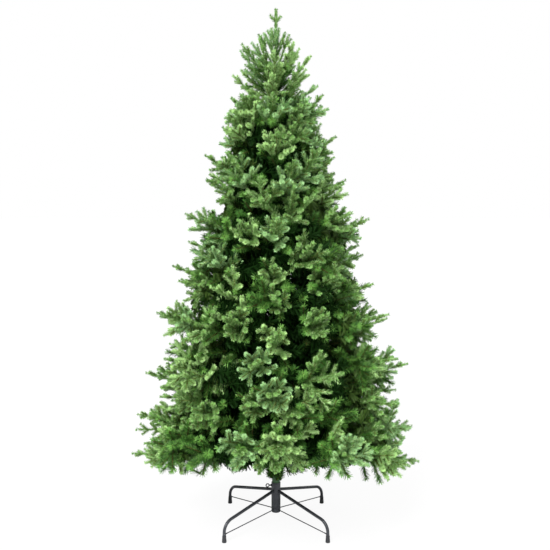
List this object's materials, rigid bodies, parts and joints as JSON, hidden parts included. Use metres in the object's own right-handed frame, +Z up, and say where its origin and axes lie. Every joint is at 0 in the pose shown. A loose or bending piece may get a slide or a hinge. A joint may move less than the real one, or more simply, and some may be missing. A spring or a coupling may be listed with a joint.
{
  "type": "artificial christmas tree on a four-legged stand",
  "caption": "Tall slim artificial fir with dense needled tips, tapering evenly to a pointed leader, on a black steel stand with splayed bent legs.",
  "frame": {"origin": "on the floor, under the axis of the pole", "axes": "+Z up along the pole; -Y towards the viewer of the picture; +X to the viewer's right"},
  "size_m": [1.204, 1.204, 2.1],
  "materials": {
    "stand_steel": "black satin powder coat",
    "pole_paint": "dark green satin paint",
    "foot_rubber": "matt black",
    "bough_wrap": "matt brown-green film",
    "needles": "matt green needles, fresh green at the tips"
  },
  "bodies": {
    "root": {"stand_hub": "stand_steel", "stand_end_cap": "stand_steel", "leg_1": "stand_steel", "leg_2": "stand_steel", "leg_3": "stand_steel", "leg_4": "stand_steel", "stay_1": "stand_steel", "stay_2": "stand_steel", "stay_3": "stand_steel", "stay_4": "stand_steel", "foot_cap_1": "foot_rubber", "foot_cap_2": "foot_rubber", "foot_cap_3": "foot_rubber", "foot_cap_4": "foot_rubber", "clamp_screw": "stand_steel", "pole": "pole_paint", "pole_wrap": "needles", "bough_1_a": "bough_wrap", "bough_1_b": "bough_wrap", "bough_1_c": "bough_wrap", "bough_1_d": "bough_wrap", "bough_1_e": "bough_wrap", "bough_1_f": "bough_wrap", "bough_1_g": "bough_wrap", "bough_2_a": "bough_wrap", "bough_2_b": "bough_wrap", "bough_2_c": "bough_wrap", "bough_2_d": "bough_wrap", "bough_2_e": "bough_wrap", "bough_2_f": "bough_wrap", "foliage_1_a": "needles", "foliage_1_b": "needles", "foliage_1_c": "needles", "foliage_1_d": "needles", "foliage_1_e": "needles", "foliage_1_f": "needles", "foliage_1_g": "needles", "foliage_2_a": "needles", "foliage_2_b": "needles", "foliage_2_c": "needles", "foliage_2_d": "needles", "foliage_2_e": "needles", "foliage_2_f": "needles", "foliage_3_a": "needles", "foliage_3_b": "needles", "foliage_3_c": "needles", "foliage_3_d": "needles", "foliage_3_e": "needles", "foliage_4_a": "needles", "foliage_4_b": "needles", "foliage_4_c": "needles", "foliage_4_d": "needles", "foliage_5_a": "needles", "foliage_5_b": "needles", "foliage_5_c": "needles", "foliage_6_a": "needles", "foliage_6_b": "needles", "foliage_6_c": "needles", "foliage_top": "needles"}
  },
  "joints": []
}
